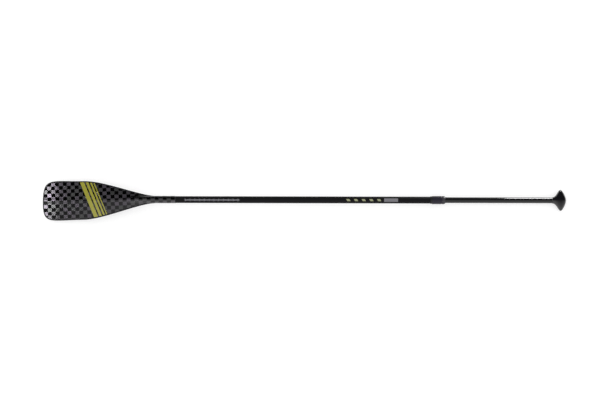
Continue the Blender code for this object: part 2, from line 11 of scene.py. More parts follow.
import bmesh
import bpy
from bpy.props import FloatProperty, FloatVectorProperty, PointerProperty
from mathutils import Matrix, Vector

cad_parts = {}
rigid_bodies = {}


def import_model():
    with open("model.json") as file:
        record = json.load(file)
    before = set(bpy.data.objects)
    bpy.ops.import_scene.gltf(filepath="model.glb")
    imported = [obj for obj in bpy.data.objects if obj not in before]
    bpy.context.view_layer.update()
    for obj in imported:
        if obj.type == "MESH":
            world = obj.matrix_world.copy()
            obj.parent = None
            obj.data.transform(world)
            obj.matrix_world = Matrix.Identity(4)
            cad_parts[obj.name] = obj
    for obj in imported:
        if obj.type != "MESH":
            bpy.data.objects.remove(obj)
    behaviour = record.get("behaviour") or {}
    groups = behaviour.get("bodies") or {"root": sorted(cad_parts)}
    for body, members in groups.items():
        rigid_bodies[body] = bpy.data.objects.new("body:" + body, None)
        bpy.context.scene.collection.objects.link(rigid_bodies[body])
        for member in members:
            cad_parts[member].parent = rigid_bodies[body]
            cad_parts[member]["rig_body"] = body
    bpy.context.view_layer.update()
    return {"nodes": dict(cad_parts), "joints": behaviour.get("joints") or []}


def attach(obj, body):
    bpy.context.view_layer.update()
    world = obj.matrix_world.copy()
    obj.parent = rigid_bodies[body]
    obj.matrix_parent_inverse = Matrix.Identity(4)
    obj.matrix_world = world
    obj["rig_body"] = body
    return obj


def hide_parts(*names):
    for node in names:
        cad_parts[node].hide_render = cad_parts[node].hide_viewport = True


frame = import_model()

bl_info = {
    "name": "Stand-up paddle looks",
    "version": (1, 0, 0),
    "blender": (4, 5, 0),
    "location": "3D View > Sidebar > Paddle",
    "description": "Detailed meshes, finishes, lamps and camera for an adjustable stand-up paddle",
    "category": "Object",
}

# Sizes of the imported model, along the shaft from the blade's tip
TOTAL_LENGTH = 2.200
BLADE_LENGTH = 0.480
NECK_LENGTH = 0.081
NUT_AT = 1.636
LENGTH_ADJUSTMENT = 0.400
GLUE_GAP = 0.0003
SPLIT_HALF_GAP = 0.00015
SPLIT_LAND = 0.0005

# Blade
BLADE_SIDE_HALF_WIDTH = 0.0815
BLADE_SIDE_AT = 0.176
BLADE_TIP_FULLNESS = 0.104
BLADE_SHOULDER_PULL = 0.145
BLADE_HIP_PULL = 0.086
BLADE_THROAT_PULL = 0.067
BLADE_CANT = math.radians(10)
CANT_BEND_LENGTH = 0.160
TIP_KICK = math.radians(3.5)
TIP_KICK_LENGTH = 0.070
TIP_KICK_BEND = 0.020
FAN_CENTRE = 0.060
SKIN_THICKNESS = 0.0008
EDGE_HALF_THICKNESS = 0.0020
RIDGE_HEIGHT = 0.0068
RIDGE_REACH = 0.200
RIDGE_SHARPNESS = 1.25
POWER_FAIRING_LENGTH = 0.175
BACK_SPINE_LENGTH = 0.335
FILLET_SIZE = 0.010
FILLET_START = 0.060
SOCKET_SIDE_SLOPE = 3
RAIL_WIDTH = 0.0050
RAIL_SETBACK = 0.043
CORE_SETBACK = 0.060

# Shafts
LOWER_RADIUS = 0.0143
LOWER_WALL = 0.0018
LOWER_REACH = 0.016
SLIDE_CLEARANCE = 0.0003
UPPER_WALL = 0.0015
UPPER_OVERLAP = 0.106
GROOVE_WIDTH = 0.0050
GROOVE_DEPTH = 0.0008
KEY_END = 0.0298

# Twist lock, along the shaft from the nut's rear edge
FERRULE_LIP = 0.008
FERRULE_WALL = 0.0010
FERRULE_REACH = 0.032
NUT_WALL = 0.0012
NUT_BODY_LENGTH = 0.0376
NUT_GROOVE_WIDTH = 0.0038
NUT_GROOVE_DEPTH = 0.0009
NUT_CHAMFER = 0.0006
NUT_POCKET = 0.0158
FLUTE_COUNT = 24
FLUTE_DEPTH = 0.0003
FLUTE_SETBACK = 0.004
FLUTE_RUN_OUT = 0.006
NUT_WEB_AT = 0.0457
NUT_END = 0.0472
WIPER_WIDTH = 0.0022
WIPER_END_RELIEF = 0.0006
WIPER_LIP_HEIGHT = 0.0008
CAP_FLOOR = 0.0500
CAP_END = 0.0539
CAP_WALL = 0.0006
CAP_CHAMFER_LENGTH = 0.0054
CAP_CHAMFER_DEPTH = 0.0021
BORE_RELIEF = 0.0004

# Palm grip
GRIP_LENGTH = 0.059
GRIP_HALF_WIDTH = 0.0446
GRIP_HALF_THICKNESS = 0.0170
GRIP_LOBE_AT = 0.0225
GRIP_CROWN_PULL = 0.016
GRIP_LOBE_PULL = 0.006
GRIP_WAIST_PULL = 0.012
GRIP_NECK_PULL = 0.020
GRIP_ROUNDNESS = 2.3
GRIP_COLLAR = 0.0010
GRIP_SHELL = 0.0025

# Sizes that follow
NECK_RADIUS = LOWER_RADIUS + GLUE_GAP + SKIN_THICKNESS
NECK_END = BLADE_LENGTH + NECK_LENGTH
RAIL_END = BLADE_LENGTH - RAIL_SETBACK
CORE_END = BLADE_LENGTH - CORE_SETBACK
LOWER_BORE = LOWER_RADIUS - LOWER_WALL
LOWER_END = NUT_AT + LOWER_REACH
UPPER_RADIUS = LOWER_BORE - SLIDE_CLEARANCE
UPPER_BORE = UPPER_RADIUS - UPPER_WALL
UPPER_START = LOWER_END - UPPER_OVERLAP
UPPER_END = TOTAL_LENGTH - GRIP_LENGTH
GRIP_NECK_RADIUS = UPPER_RADIUS + GRIP_COLLAR
FERRULE_BORE = LOWER_RADIUS + GLUE_GAP
FERRULE_RADIUS = FERRULE_BORE + FERRULE_WALL
THREAD_BORE = FERRULE_RADIUS + GLUE_GAP
NUT_RADIUS = THREAD_BORE + NUT_WALL
NUT_NOSE_RADIUS = NUT_RADIUS - NUT_GROOVE_DEPTH
NUT_MOUTH = LOWER_BORE + BORE_RELIEF
CAP_START = NUT_BODY_LENGTH + NUT_GROOVE_WIDTH
CAP_BORE = NUT_NOSE_RADIUS + GLUE_GAP

POWER_SIDE = 1
BACK_SIDE = -1
SHAFT_LINE = {"axis": (1, 0, 0), "cent": (0, 0, 0)}

# How finely the visible pieces are made
SAME_PLACE = 0.000002
TURN_STEPS = 96
ROUNDING_STEPS = 3
SHARP_RING = math.radians(30)
SHARP_EDGE = math.radians(40)
TUBE_ROUNDING = 0.0003
LOCK_ROUNDING = 0.0002
WIPER_ROUNDING = 0.0001
BLADE_ROWS = 44
HIP_COLUMN = 90
RAIL_COLUMN = 212
NECK_COLUMN = 236
BLADE_COLUMNS = 260
RAIL_COLUMNS = 200
RAIL_TURNS = 12
CORE_COLUMNS = 200
CORE_ROWS = 40
GRIP_COLUMNS = 96
GRIP_ROWS = 40
FLUTE_STATIONS = 20
FLUTE_TURN_STEPS = 288
HALVINGS = 40

# Checker weave: a seam of each direction, measured from the tip's middle, and how the squares reflect. The
# crosswise and lengthwise factors below darken and lighten the squares' colour: painted shade and painted
# sheen
FIRST_COLUMN = 0.0039
FIRST_ROW = 0.0142
CROSSWISE_PAINTED_SHADE = 0.30
LENGTHWISE_PAINTED_SHEEN = 1.10
LENGTHWISE_RIBS = 0.4
SEAM_DARKNESS = 0.85
NECK_COAT = 0.55

# Marks on the blade and the lower shaft
INK_BLUR = 0.0004
END_BLUR = 0.0005
STRIPE_START = 0.190
STRIPE_SLANT = 0.42
STRIPE_GAP = 0.006
STRIPE_WIDTHS = (0.018, 0.012, 0.008, 0.005)
TICK_PITCH = 0.004
TICK_LINE = -0.0028
TICK_HALF_HEIGHT = 0.0028
TALL_TICK_RISE = 0.0022
TALL_TICK_EVERY = 5
TICKS_MIDDLE = 0.714
TICKS_HALF_LENGTH = 0.1155
MARK_LINE = -0.0022
BAR_START = 1.266
BAR_PITCH = 0.0322
BAR_SLANT = 0.6
BAR_HALF_HEIGHT = 0.0046
BARS_MIDDLE = 1.345
BARS_HALF_LENGTH = 0.0805
PATCH_MIDDLE = 1.4625
PATCH_HALF_LENGTH = 0.0295
PATCH_HALF_HEIGHT = 0.0078

# Fine relief: the turning lines of the lower shaft, and the grain of moulded plastic
TURNING_PITCH = 0.0009
TURNING_HEIGHT = 0.000004
GRAIN_SIZE = 0.0007
GRAIN_HEIGHT = 0.000012
BUMP_FILTER = 0.05
FOAM_CELLS_PER_METRE = 900.0

# Scratches: how the noise is stretched and turned, how it grows, and the level above which it shows
SCRATCH_BLUR = 0.10
SCRATCHES = (
    ((1, 14, 14), 0.5, 1.0, 0.62),
    ((14, 1, 14), -0.35, 1.4, 0.64),
)

# Stage. The card's greys go by degrees from overhead, with the near side below zero
FLOOR_RADIUS = 40
FLOOR_SIDES = 96
FLOOR_GLOW = 0.55
CARD_ENDS = (-7.0, 12.0)
CARD_STEPS = 48
CARD_GREYS = (
    (-45, 1.0), (-35, 0.93), (-26, 0.75), (-15, 0.6), (-6, 0.47), (0, 0.3),
    (5, 0.12), (8, 0.0), (60, 0.0), (74, 0.2), (90, 0.2),
)

# Lamps: place, the point that they face, and their width and depth
FILL_LAMP = ((0, 0, 2.7), (0, 0, 0), (5.0, 1.5))
TIP_LAMP = ((-2.44, -1.0, 1.45), (-2.44, -1.0, 0), (0.66, 0.72))
GRIP_LAMP = ((1.43, 1.5, 0.26), (1.08, 0, 0.04), (0.5, 0.45))

# Camera, found from the photograph's outline of the paddle
CAMERA_TARGET = Vector((-0.01748, 0.00016, 0.04))
CAMERA_DISTANCE = 6.98412
CAMERA_LEAN = math.radians(6.404)
CAMERA_ROLL = math.radians(-0.0494)
CAMERA_LENS = 100.0


# Values that a user would change


def field(label, default, description, **kind):
    return FloatProperty(name=label, description=description, default=default, **kind)


def colour_field(label, default, description):
    return FloatVectorProperty(name=label, description=description, default=default, subtype="COLOR")


length_field = partial(field, unit="LENGTH")
angle_field = partial(field, subtype="ANGLE")
power_field = partial(field, unit="POWER")


class PaddleWeave(bpy.types.PropertyGroup):
    square_length: length_field("Square length", 0.01683, "Length of one woven square")
    square_width: length_field("Square width", 0.01535, "Width of one woven square")
    column_lean: field("Column lean", 0.046, "Run along the blade for each metre across it")
    row_lean: field("Row lean", 0.022, "Rise across the blade for each metre along it")
    tow_pitch: length_field("Tow pitch", 0.0014, "Distance between the fibres' ribs")
    tow_lean: angle_field("Tow lean", math.radians(19), "Lean of the lengthwise fibres")
    rib_slope: angle_field("Rib slope", math.radians(9), "Slope of the fibres' ribs")
    seam_width: length_field("Seam width", 0.0007, "Dark resin line between two squares")
    braid_pitch: length_field("Braid pitch", 0.0042, "Width of the shafts' fine braid")


class PaddleColours(bpy.types.PropertyGroup):
    carbon: colour_field("Carbon", (0.052, 0.053, 0.052), "Reflecting colour of the fibres")
    violet_carbon: colour_field("Violet carbon", (0.059, 0.051, 0.063), "Fibres with a violet cast")
    resin: colour_field("Resin", (0.004, 0.004, 0.005), "Dark resin between the fibres")
    shaft: colour_field("Shaft", (0.007, 0.007, 0.008), "Black of both shafts")
    moulded: colour_field("Moulded black", (0.016, 0.014, 0.024), "Black of the twist lock's nut")
    grip: colour_field("Grip", (0.005, 0.0047, 0.006), "Gloss black of the palm grip")
    lime: colour_field("Lime ink", (0.31, 0.295, 0.035), "Yellow-green ink of the stripes")
    pale_lime: colour_field("Pale lime ink", (0.27, 0.28, 0.17), "Paler ink of the bars")
    white: colour_field("White ink", (0.36, 0.355, 0.39), "Ink of the fine ticks")
    grey: colour_field("Grey ink", (0.170, 0.166, 0.182), "Ink of the plain patch")


class PaddleStudio(bpy.types.PropertyGroup):
    surround: field("Surround", 1.0, "Brightness of the white room", min=0.0)
    fill_power: power_field("Fill power", 12.0, "Power of the lamp overhead")
    tip_power: power_field("Tip lamp power", 26.0, "Power of the lamp beyond the tip")
    grip_power: power_field("Grip lamp power", 25.0, "Power of the low lamp beside the grip")
    card_radius: length_field("Card radius", 3.0, "Radius of the curved card")


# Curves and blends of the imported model


def bezier(start, start_pull, end_pull, end, share):
    """A point of the cubic curve between two points, each with its handle."""
    rest = 1 - share
    ends = rest**3 * start + share**3 * end
    return ends + 3 * rest * share * (rest * start_pull + share * end_pull)


def ease(value):
    """0 to 1 with level ends."""
    held = min(max(value, 0.0), 1.0)
    return held * held * (3 - 2 * held)


def blended_max(first, second, fillet):
    """The larger of two heights, with a fillet where they cross."""
    if fillet <= 0:
        return max(first, second)
    nearness = max(fillet - abs(first - second), 0) / fillet
    return max(first, second) + nearness**2 * fillet / 4


def blade_rim(share):
    """The blade's outline: 0 to 1 goes round the tip's corner, 1 to 2 up the side, 2 to 3 along the neck."""
    hip = Vector((BLADE_SIDE_AT, BLADE_SIDE_HALF_WIDTH))
    neck = Vector((BLADE_LENGTH, NECK_RADIUS))
    if share <= 1:
        tip = Vector((0, 0))
        tip_pull = Vector((0, BLADE_TIP_FULLNESS))
        shoulder_pull = hip - Vector((BLADE_SHOULDER_PULL, 0))
        return bezier(tip, tip_pull, shoulder_pull, hip, share)
    if share <= 2:
        hip_pull = hip + Vector((BLADE_HIP_PULL, 0))
        throat_pull = neck - Vector((BLADE_THROAT_PULL, 0))
        return bezier(hip, hip_pull, throat_pull, neck, share - 1)
    return neck.lerp(Vector((NECK_END, NECK_RADIUS)), share - 2)


def blade_rung(share):
    """The middle point and the rim point of one line across half the blade."""
    rim = blade_rim(share)
    return Vector((max(rim.x, FAN_CENTRE), 0)), rim


def bend_drop(run, bend_length, angle):
    """How far a surface drops along a run that starts with a bend and goes on as a straight slope."""
    slope = math.tan(angle)
    if run < bend_length:
        return slope * max(run, 0) ** 2 / (2 * bend_length)
    return slope * (run - bend_length / 2)


def middle_height(x):
    """The blade's middle surface bends away from the shaft's line below the neck, and again at the tip."""
    cant_drop = bend_drop(BLADE_LENGTH - x, CANT_BEND_LENGTH, BLADE_CANT)
    return -cant_drop - bend_drop(TIP_KICK_LENGTH - x, TIP_KICK_BEND, TIP_KICK)


def panel_height(side, centre, rim, share):
    """Half thickness of the blade's panel: ridged on the power face, flat on the back, round at the edge."""
    width = (rim - centre).length
    inner_share = 1 - RAIL_WIDTH / width
    from_edge = min((1 - share) * width / RAIL_WIDTH, 1)
    rounding = math.sqrt(1 - (1 - from_edge) ** 2)
    ridge = 0
    if side == POWER_SIDE:
        grown = min(centre.x / RIDGE_REACH, 1)
        ridge = (RIDGE_HEIGHT - EDGE_HALF_THICKNESS) * grown
    fall = min(share / inner_share, 1) ** RIDGE_SHARPNESS
    return (EDGE_HALF_THICKNESS + ridge * (1 - fall)) * rounding


def socket_height(side, x, y):
    """The round neck socket, which sinks into the blade further down."""
    below_neck = BLADE_LENGTH - x
    length = POWER_FAIRING_LENGTH if side == POWER_SIDE else BACK_SPINE_LENGTH
    sink = NECK_RADIUS * ease(below_neck / length)
    beside = max(abs(y) - NECK_RADIUS, 0)
    return math.sqrt(max(NECK_RADIUS**2 - y**2, 0)) - sink - SOCKET_SIDE_SLOPE * beside


def blade_point(side, centre, rim, share):
    flat = centre.lerp(rim, share)
    panel = panel_height(side, centre, rim, share)
    socket = socket_height(side, flat.x, flat.y)
    fillet = FILLET_SIZE * ease((BLADE_LENGTH - flat.x) / FILLET_START)
    height = max(blended_max(panel, socket, fillet), SPLIT_LAND)
    return Vector((flat.x, flat.y, middle_height(flat.x) + side * height))


def grip_rim(share):
    """The grip's outline: 0 to 1 runs over the crown to the lobe, 1 to 2 round it down to the neck."""
    lobe = Vector((TOTAL_LENGTH - GRIP_LOBE_AT, GRIP_HALF_WIDTH))
    if share <= 1:
        crown = Vector((TOTAL_LENGTH, 0))
        crown_pull = Vector((TOTAL_LENGTH, GRIP_CROWN_PULL))
        lobe_pull = lobe + Vector((GRIP_LOBE_PULL, 0))
        return bezier(crown, crown_pull, lobe_pull, lobe, share)
    neck = Vector((UPPER_END + GLUE_GAP, GRIP_NECK_RADIUS))
    waist_pull = lobe - Vector((GRIP_WAIST_PULL, 0))
    neck_pull = neck + Vector((GRIP_NECK_PULL, 0))
    return bezier(lobe, waist_pull, neck_pull, neck, share - 1)


def grip_point(side, centre, rim, share):
    flat = centre.lerp(rim, share)
    swelling = ease((centre.x - UPPER_END) / (GRIP_LENGTH - GRIP_LOBE_AT))
    middle = GRIP_NECK_RADIUS + (GRIP_HALF_THICKNESS - GRIP_NECK_RADIUS) * swelling
    power = 2 + (GRIP_ROUNDNESS - 2) * swelling
    height = middle * max(1 - share**power, 0) ** (1 / power)
    return Vector((flat.x, flat.y, side * max(height, SPLIT_LAND)))


# Meshes


def line_to_model():
    """Takes a point of the shaft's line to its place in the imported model."""
    turn = next(joint for joint in frame["joints"] if joint["name"] == "nut_turn")
    along = Vector(turn["axis"]).normalized()
    across = Vector((0, 1, 0))
    basis = Matrix((along, across, along.cross(across))).transposed().to_4x4()
    return Matrix.Translation(Vector(turn["pos_m"]) - along * NUT_AT) @ basis


def mesh_of(name, shape):
    mesh = bpy.data.meshes.new(name)
    shape.to_mesh(mesh)
    shape.free()
    return mesh


def placed(name, data):
    """A new object in the scene."""
    thing = bpy.data.objects.new(name, data)
    bpy.context.scene.collection.objects.link(thing)
    return thing


def warped_sheet(columns, rows, place):
    """A grid of faces whose corners lie where place says, for each column and row."""
    shape = bmesh.new()
    bmesh.ops.create_grid(shape, x_segments=columns, y_segments=rows, size=0.5)
    for vertex in shape.verts:
        column = round((vertex.co.x + 0.5) * columns)
        row = round((vertex.co.y + 0.5) * rows)
        vertex.co = place(column, row)
    return shape


def mirror_across(shape):
    """Adds the other half and merges both on the middle line."""
    bmesh.ops.remove_doubles(shape, verts=shape.verts, dist=SAME_PLACE)
    everything = shape.verts[:] + shape.edges[:] + shape.faces[:]
    bmesh.ops.mirror(shape, geom=everything, axis="Y", merge_dist=SAME_PLACE)
    bmesh.ops.remove_doubles(shape, verts=shape.verts, dist=SAME_PLACE)
    bmesh.ops.recalc_face_normals(shape, faces=shape.faces)


def turned_shape(outline, steps=TURN_STEPS):
    """Spins a closed outline of (station, radius) corners round the shaft's line."""
    shape = bmesh.new()
    corners = [shape.verts.new((station, 0, radius)) for station, radius in outline]
    edges = [shape.edges.new(pair) for pair in zip(corners, corners[1:] + corners[:1])]
    bmesh.ops.spin(shape, geom=corners + edges, angle=math.tau, steps=steps, use_merge=True, **SHAFT_LINE)
    bmesh.ops.remove_doubles(shape, verts=shape.verts, dist=SAME_PLACE)
    bmesh.ops.recalc_face_normals(shape, faces=shape.faces)
    return shape


def round_rings(shape, size):
    """Rounds every sharp ring of a turned shape."""
    sharp = [edge for edge in shape.edges if edge.is_manifold and edge.calc_face_angle() > SHARP_RING]
    width = {"offset": size, "offset_type": "OFFSET", "clamp_overlap": True}
    profile = {"segments": ROUNDING_STEPS, "profile": 0.5, "affect": "EDGES", "material": -1}
    bmesh.ops.bevel(shape, geom=sharp, **width, **profile)


def close_ends(shape, edges):
    open_edges = [edge for edge in edges if edge.is_boundary]
    bmesh.ops.edgeloop_fill(shape, edges=open_edges)


def unwrap(shape, rule):
    """Writes the weave's coordinates, in metres along and across the fibres, for every face corner."""
    layer = shape.loops.layers.uv.verify()
    for face in shape.faces:
        middle = face.calc_center_median()
        for corner in face.loops:
            corner[layer].uv = rule(corner.vert.co, middle)


def blade_weave(point, middle):
    """The cloth lies flat on the blade and wraps round the neck."""
    overhang = max(abs(point.y) - NECK_RADIUS, 0)
    turned = math.asin(min(max(point.y / NECK_RADIUS, -1), 1))
    wrapped = NECK_RADIUS * turned + math.copysign(overhang, point.y)
    share = ease((point.x - BLADE_LENGTH + FILLET_START) / FILLET_START)
    return point.x, point.y + (wrapped - point.y) * share


def flat_weave(point, middle):
    return point.x, point.y


def tube_weave(radius):
    """A rule for cloth that wraps round a tube, from the tube's top line."""

    def rule(point, middle):
        turn = math.atan2(point.y, point.z)
        middle_turn = math.atan2(middle.y, middle.z)
        turn += math.tau * round((middle_turn - turn) / math.tau)
        return point.x, radius * turn

    return rule


def show_piece(name, shape, node, material):
    """Lays a shape from the shaft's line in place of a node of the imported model, on that node's body."""
    mesh = mesh_of(name, shape)
    mesh.uv_layers[0].name = "weave"
    mesh.transform(line_to_model())
    mesh.shade_smooth()
    mesh.set_sharp_from_angle(angle=SHARP_EDGE)
    mesh.materials.append(material)
    piece = placed(name, mesh)
    cad = frame["nodes"][node]
    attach(piece, cad["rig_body"])
    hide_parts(node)
    return piece


def show_shell(name, shape, node, side, material, rule, thickness):
    """Shows one half of a shell from half of its outer surface, with its wall on the inside."""
    mirror_across(shape)
    outward = sum(face.normal.z * face.calc_area() for face in shape.faces)
    if outward * side < 0:
        bmesh.ops.reverse_faces(shape, faces=shape.faces)
    unwrap(shape, rule)
    wall = show_piece(name, shape, node, material).modifiers.new("Wall", "SOLIDIFY")
    wall.thickness = thickness
    wall.offset = -1
    wall.use_even_offset = True


def repaint(node, material):
    """Gives a node that stays as it was packed a detailed finish."""
    for slot in frame["nodes"][node].material_slots:
        slot.material = material


# Materials as expressions


def math_node(operation, swapped=False):
    """A method that adds a Math node."""

    def method(wire, *others):
        values = (*others, wire) if swapped else (wire, *others)
        return wire.paint.math(operation, *values)

    return method


class Wire:
    """One output of a node. Python's operators on it add Math nodes."""

    __add__ = math_node("ADD")
    __radd__ = math_node("ADD", swapped=True)
    __sub__ = math_node("SUBTRACT")
    __rsub__ = math_node("SUBTRACT", swapped=True)
    __mul__ = math_node("MULTIPLY")
    __truediv__ = math_node("DIVIDE")
    __mod__ = math_node("FLOORED_MODULO")
    __lt__ = math_node("LESS_THAN")
    __abs__ = math_node("ABSOLUTE")
    floor = math_node("FLOOR")
    sine = math_node("SINE")
    lesser = math_node("MINIMUM")
    greater = math_node("MAXIMUM")

    def __init__(self, paint, socket):
        self.paint = paint
        self.socket = socket

    def spread(self, low, high):
        """Low where the wire is 0, and high where it is 1."""
        return self * (high - low) + low

    def between(self, low, high):
        """0 below low, 1 above high and a soft step in between. High may be the lower one."""
        inputs = {"Value": self, "From Min": low, "From Max": high}
        return self.paint.node("ShaderNodeMapRange", inputs, interpolation_type="SMOOTHSTEP")

    def band(self, middle, half_width, blur):
        """1 within a half width of the middle, and 0 outside it, with soft edges."""
        return abs(self - middle).between(half_width, half_width - blur)


class Paint:
    """One material, whose nodes end in its Principled shader."""

    SOCKETS = {
        "metal": "Metallic",
        "gloss": "Specular IOR Level",
        "coat": "Coat Weight",
        "coat_roughness": "Coat Roughness",
        "glow": "Emission Color",
        "glow_strength": "Emission Strength",
    }
    MIX_INPUTS = (0, 6, 7)
    MIX_RESULT = 2

    def __init__(self, name):
        self.colours = bpy.context.scene.paddle_colours
        self.sizes = bpy.context.scene.paddle_weave
        self.material = bpy.data.materials.new(name)
        self.material.use_nodes = True
        self.tree = self.material.node_tree
        self.shader = self.tree.nodes.get("Principled BSDF")

    def feed(self, socket, value):
        """Links a wire to a socket, or sets the socket's own value."""
        if isinstance(value, Wire):
            self.tree.links.new(value.socket, socket)
        elif socket.type == "RGBA":
            socket.default_value = (*value[:3], 1.0)
        else:
            socket.default_value = value

    def node(self, kind, inputs=None, output=0, **settings):
        """Adds a node with its settings and the values or links of its inputs, and returns one output."""
        node = self.tree.nodes.new(kind)
        for name, setting in settings.items():
            setattr(node, name, setting)
        for name, value in (inputs or {}).items():
            self.feed(node.inputs[name], value)
        return Wire(self, node.outputs[output])

    def math(self, operation, *values):
        return self.node("ShaderNodeMath", dict(enumerate(values)), operation=operation)

    def mix(self, factor, first, second, blend="MIX"):
        """A colour between two colours."""
        inputs = dict(zip(self.MIX_INPUTS, (factor, first, second)))
        return self.node("ShaderNodeMix", inputs, self.MIX_RESULT, data_type="RGBA", blend_type=blend)

    def shaded(self, colour, amount):
        """A colour made darker or lighter by a wire of numbers."""
        grey = self.node("ShaderNodeCombineColor", {"Red": amount, "Green": amount, "Blue": amount})
        return self.mix(1.0, colour, grey, "MULTIPLY")

    def split(self, vector):
        node = self.tree.nodes.new("ShaderNodeSeparateXYZ")
        self.feed(node.inputs[0], vector)
        return [Wire(self, output) for output in node.outputs]

    def cloth(self):
        """The two coordinates of the cloth, in metres."""
        return self.split(self.node("ShaderNodeUVMap", uv_map="weave"))[:2]

    def place(self):
        """The piece's own coordinates."""
        return self.node("ShaderNodeTexCoord", output="Object")

    def noise(self, size, detail=4.0, stretch=(1, 1, 1), turn=0.0):
        """Soft noise from 0 to 1, with features of about the given size in metres."""
        mapping = {"Vector": self.place(), "Scale": stretch, "Rotation": (0, 0, turn)}
        place = self.node("ShaderNodeMapping", mapping)
        return self.node("ShaderNodeTexNoise", {"Vector": place, "Scale": 1 / size, "Detail": detail})

    def random(self, x, y):
        """One number from 0 to 1 for each pair of whole numbers."""
        pair = self.node("ShaderNodeCombineXYZ", {"X": x, "Y": y})
        return self.node("ShaderNodeTexWhiteNoise", {"Vector": pair}, noise_dimensions="2D")

    def bump(self, height):
        """A normal from a height in metres."""
        inputs = {"Strength": 1.0, "Distance": 1.0, "Height": height, "Filter Width": BUMP_FILTER}
        return self.node("ShaderNodeBump", inputs)

    def finish(self, base, roughness, height=None, **others):
        """Sets the shader's sockets and returns the material. A height becomes a bump."""
        values = {"Base Color": base, "Roughness": roughness}
        if height is not None:
            values["Normal"] = self.bump(height)
        for name, value in others.items():
            values[self.SOCKETS[name]] = value
        for name, value in values.items():
            self.feed(self.shader.inputs[name], value)
        return self.material


# Finishes


def scuffs(paint, size, amount):
    """Faint fine scratches: long thin noise in two directions, from 0 to the given amount."""
    marks = []
    for stretch, turn, growth, level in SCRATCHES:
        noise = paint.noise(size * growth, detail=3.0, stretch=stretch, turn=turn)
        marks.append(noise.between(level, level + SCRATCH_BLUR))
    return sum(marks) * amount


def seam_distance(position, number, size):
    """How far the nearer of a square's two seams is."""
    inside = position - number
    return inside.lesser(1 - inside) * size


def checker_squares(paint, along, across):
    """Masks of the lengthwise squares and of the seams, with each square's tone and lean."""
    sizes = paint.sizes
    column = (along + across * sizes.column_lean - FIRST_COLUMN) / sizes.square_length
    row = (across - along * sizes.row_lean - FIRST_ROW) / sizes.square_width
    column_number = column.floor()
    row_number = row.floor()
    lengthwise = (column_number + row_number) % 2
    from_column = seam_distance(column, column_number, sizes.square_length)
    from_row = seam_distance(row, row_number, sizes.square_width)
    seam = from_column.lesser(from_row).between(sizes.seam_width, sizes.seam_width / 3)
    tone = paint.random(column_number, row_number)
    rise = (row - row_number - 0.5) * (sizes.square_width * math.tan(sizes.tow_lean))
    return lengthwise, seam, tone, rise


def tow_ribs(paint, coordinate):
    """Height of the fine roof-shaped ribs of parallel fibres, which spread the reflection to both sides."""
    ribs = paint.math("PINGPONG", coordinate, paint.sizes.tow_pitch / 2)
    return ribs * math.tan(paint.sizes.rib_slope)


def slanted_stripes(along, across):
    """Parallel yellow-green stripes that cross the blade at a slant, each thinner than the last."""
    leaning = along + across * STRIPE_SLANT
    stripes = []
    start = STRIPE_START
    for width in STRIPE_WIDTHS:
        stripes.append(leaning.band(start + width / 2, width / 2, INK_BLUR))
        start += width + STRIPE_GAP
    return sum(stripes)


def blade_finish(name, roughness, striped):
    """Checker-weave carbon under a clear coat, which is thinner at the neck. The crosswise squares carry
    painted shade and the lengthwise ones a painted sheen, over each square's random tone.
    """
    paint = Paint(name)
    along, across = paint.cloth()
    lengthwise, seam, tone, rise = checker_squares(paint, along, across)
    lengthwise_ribs = tow_ribs(paint, across) * LENGTHWISE_RIBS + rise
    ribs = lengthwise * lengthwise_ribs + (1 - lengthwise) * tow_ribs(paint, along)
    # each square's random tone, times painted shade on the crosswise squares and a painted sheen on the
    # lengthwise ones
    tone_and_painted_shade = tone.spread(0.85, 1.15) * lengthwise.spread(CROSSWISE_PAINTED_SHADE, LENGTHWISE_PAINTED_SHEEN)
    carbon = paint.shaded(paint.mix(tone, paint.colours.carbon, paint.colours.violet_carbon), tone_and_painted_shade)
    base = paint.mix(seam * SEAM_DARKNESS, carbon, paint.colours.resin)
    metal = 1 - seam
    if striped:
        wear = paint.noise(size=0.004).between(0.30, 0.36)
        ink = slanted_stripes(along, across) * wear
        base = paint.mix(ink, base, paint.colours.lime)
        metal = metal * (1 - ink)
        ribs = ribs * (1 - ink)
    rough = roughness + scuffs(paint, size=0.05, amount=0.05)
    coat = along.between(BLADE_LENGTH - FILLET_START, BLADE_LENGTH).spread(1.0, NECK_COAT)
    return paint.finish(base, rough, ribs, metal=metal, coat=coat, coat_roughness=0.06)


def braid(paint, along, across):
    """A fine braid: 1 where one of two crossing sets of tows lies on top, and 0 where the other does."""
    first = (along + across) / paint.sizes.braid_pitch
    second = (along - across) / paint.sizes.braid_pitch
    return (first.floor() + second.floor()) % 2


def tick_marks(along, across):
    """A fine white scale of short ticks, with each fifth one taller."""
    step = along / TICK_PITCH
    number = step.floor()
    on_tick = (step - number).band(0.5, 0.24, 0.06)
    tall = (number % TALL_TICK_EVERY) < 0.5
    half_height = tall * TALL_TICK_RISE + TICK_HALF_HEIGHT
    inside = (half_height - abs(across - TICK_LINE)).between(0.0, INK_BLUR)
    return on_tick * inside * along.band(TICKS_MIDDLE, TICKS_HALF_LENGTH, END_BLUR)


def slanted_bars(along, across):
    """Five slanted bars in pale yellow-green."""
    leaning = (along - BAR_START + across * BAR_SLANT) / BAR_PITCH
    on_bar = (leaning - leaning.floor()).band(0.5, 0.22, 0.02)
    inside = across.band(MARK_LINE, BAR_HALF_HEIGHT, INK_BLUR)
    return on_bar * inside * along.band(BARS_MIDDLE, BARS_HALF_LENGTH, END_BLUR)


def plain_patch(along, across):
    inside = across.band(MARK_LINE, PATCH_HALF_HEIGHT, INK_BLUR)
    return inside * along.band(PATCH_MIDDLE, PATCH_HALF_LENGTH, END_BLUR)


